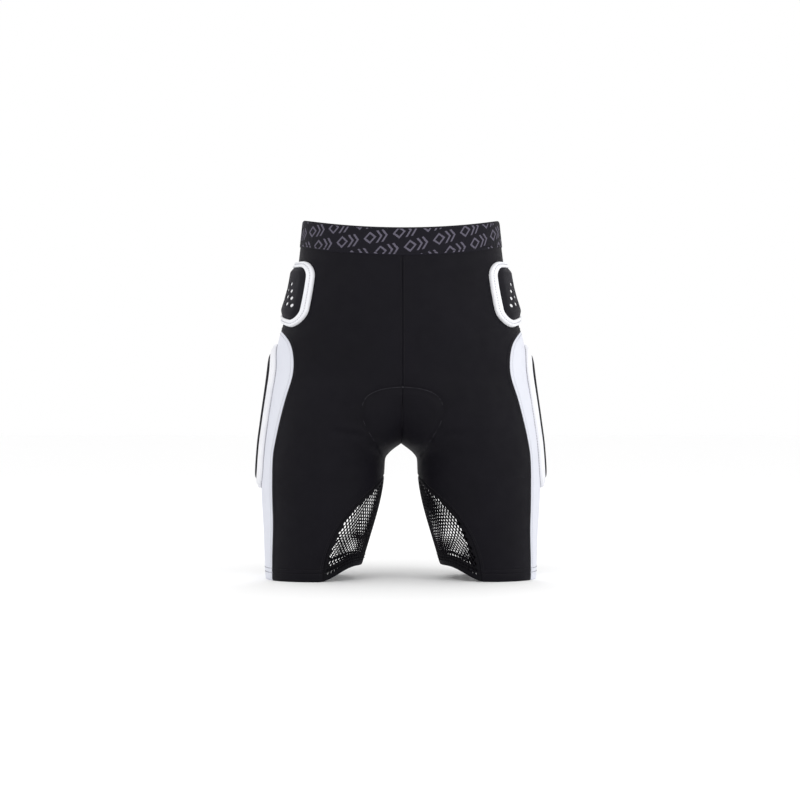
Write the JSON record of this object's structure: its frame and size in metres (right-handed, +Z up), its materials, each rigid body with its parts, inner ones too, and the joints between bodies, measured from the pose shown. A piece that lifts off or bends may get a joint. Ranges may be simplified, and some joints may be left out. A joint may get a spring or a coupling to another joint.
{
  "type": "padded impact shorts",
  "caption": "Close-fitting padded impact shorts in their worn shape, with a wide elastic waistband, moulded hip, thigh and tailbone pads, white side panels and mesh inner thighs.",
  "frame": {"origin": "under the middle of the shorts' width and depth, on the plane that the leg hems stand on", "axes": "+Z up, -Y towards the front of the shorts, +X towards the wearer's left"},
  "size_m": [0.4138, 0.2618, 0.5071],
  "materials": {
    "waistband_elastic": "jacquard elastic",
    "stretch_black": "matt stretch knit",
    "stretch_white": "matt stretch knit",
    "mesh_black": "open mesh knit",
    "pad_shell_white": "matt moulded foam",
    "pad_foam_white": "matt foam",
    "pad_cover_black": "laminated knit",
    "seat_foam": "matt foam",
    "seat_fleece": "brushed fleece"
  },
  "bodies": {
    "pelvis": {"waistband": "waistband_elastic", "front_panel_left": "stretch_black", "front_panel_right": "stretch_black", "rear_panel_left": "stretch_black", "rear_panel_right": "stretch_black", "side_panel_top_left": "stretch_white", "side_panel_top_right": "stretch_white", "hip_pad_shell_left": "pad_shell_white", "hip_pad_shell_right": "pad_shell_white", "hip_pad_core_left": "pad_foam_white", "hip_pad_core_right": "pad_foam_white", "hip_pad_cover_left": "pad_cover_black", "hip_pad_cover_right": "pad_cover_black", "tailbone_pad_shell": "pad_shell_white", "tailbone_pad_core": "pad_foam_white", "tailbone_pad_cover": "pad_cover_black", "seat_pad_foam": "seat_foam", "seat_pad_facing": "seat_fleece"},
    "left_leg": {"front_leg_panel_left": "stretch_black", "rear_leg_panel_left": "stretch_black", "side_panel_left": "stretch_white", "thigh_mesh_left": "mesh_black", "hem_facing_left": "mesh_black", "thigh_pad_shell_left": "pad_shell_white", "thigh_pad_core_left": "pad_foam_white", "thigh_pad_cover_left": "pad_cover_black"},
    "right_leg": {"front_leg_panel_right": "stretch_black", "rear_leg_panel_right": "stretch_black", "side_panel_right": "stretch_white", "thigh_mesh_right": "mesh_black", "hem_facing_right": "mesh_black", "thigh_pad_shell_right": "pad_shell_white", "thigh_pad_core_right": "pad_foam_white", "thigh_pad_cover_right": "pad_cover_black"}
  },
  "joints": [
    {"name": "left_hip_flex", "type": "hinge", "parent": "pelvis", "child": "left_leg", "pos_m": [0.1, -0.0188, 0.285], "axis": [-1, 0, 0], "range_deg": [-10, 30], "deforming": ["front_panel_left", "rear_panel_left", "side_panel_top_left", "front_leg_panel_left", "rear_leg_panel_left", "side_panel_left", "thigh_mesh_left", "seat_pad_foam", "seat_pad_facing"]},
    {"name": "right_hip_flex", "type": "hinge", "parent": "pelvis", "child": "right_leg", "pos_m": [-0.1, -0.0188, 0.285], "axis": [-1, 0, 0], "range_deg": [-10, 30], "deforming": ["front_panel_right", "rear_panel_right", "side_panel_top_right", "front_leg_panel_right", "rear_leg_panel_right", "side_panel_right", "thigh_mesh_right", "seat_pad_foam", "seat_pad_facing"]}
  ]
}
